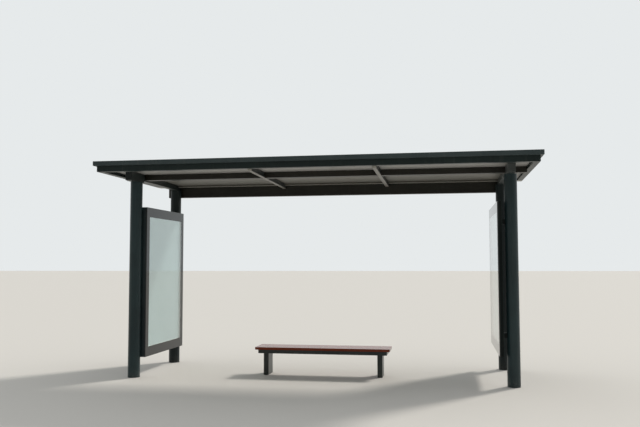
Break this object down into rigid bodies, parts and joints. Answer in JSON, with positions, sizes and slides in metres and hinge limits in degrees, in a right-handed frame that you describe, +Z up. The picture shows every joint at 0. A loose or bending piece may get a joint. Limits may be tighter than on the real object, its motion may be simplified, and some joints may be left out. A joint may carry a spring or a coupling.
{
  "type": "bus shelter",
  "caption": "Bus shelter: four round steel posts, flat roof reaching forward, a glazed display case inside the posts at each end, slatted hardwood bench between.",
  "frame": {"origin": "on the ground under the middle of the roof's outline", "axes": "+X along the roof, -Y the open waiting side, +Z up"},
  "size_m": [5.79, 2.306, 2.918],
  "materials": {
    "post_paint": "satin dark slate-grey powder coat",
    "beam_paint": "satin dark slate-grey powder coat",
    "fascia_paint": "satin dark slate-grey powder coat",
    "cap_paint": "satin slate-grey powder coat, weathered",
    "deck_sheet": "coated steel sheet, dusty",
    "ceiling_paint": "matt warm-grey coated sheet",
    "case_paint": "satin dark slate-grey powder coat",
    "door_paint": "semi-gloss dark grey powder coat",
    "opal_panel": "opal acrylic, matt",
    "case_glass": "clear toughened glass",
    "border_paint": "matt black, seen through the pane as the border",
    "seat_wood": "oiled red-brown hardwood",
    "bench_paint": "satin near-black powder coat"
  },
  "bodies": {
    "root": {"front_left_post": "post_paint", "front_right_post": "post_paint", "rear_left_post": "post_paint", "rear_right_post": "post_paint", "left_side_rafter": "beam_paint", "right_side_rafter": "beam_paint", "left_middle_rafter": "beam_paint", "right_middle_rafter": "beam_paint", "front_beam": "beam_paint", "rear_beam": "beam_paint", "front_edge": "fascia_paint", "left_edge": "fascia_paint", "right_edge": "fascia_paint", "rear_gutter": "fascia_paint", "front_cap": "cap_paint", "rear_cap": "cap_paint", "left_cap": "cap_paint", "right_cap": "cap_paint", "roof_deck": "deck_sheet", "ceiling_sheet": "ceiling_paint", "left_case_back": "case_paint", "left_case_rails": "border_paint", "left_case_stiles": "border_paint", "left_door_rails": "door_paint", "left_door_stiles": "door_paint", "left_light_panel": "opal_panel", "left_case_glass": "case_glass", "left_case_brackets": "case_paint", "right_case_back": "case_paint", "right_case_rails": "border_paint", "right_case_stiles": "border_paint", "right_door_rails": "door_paint", "right_door_stiles": "door_paint", "right_light_panel": "opal_panel", "right_case_glass": "case_glass", "right_case_brackets": "case_paint", "seat_boards": "seat_wood", "bench_long_rails": "bench_paint", "bench_cross_rails": "bench_paint", "bench_left_leg": "bench_paint", "bench_right_leg": "bench_paint"}
  },
  "joints": []
}
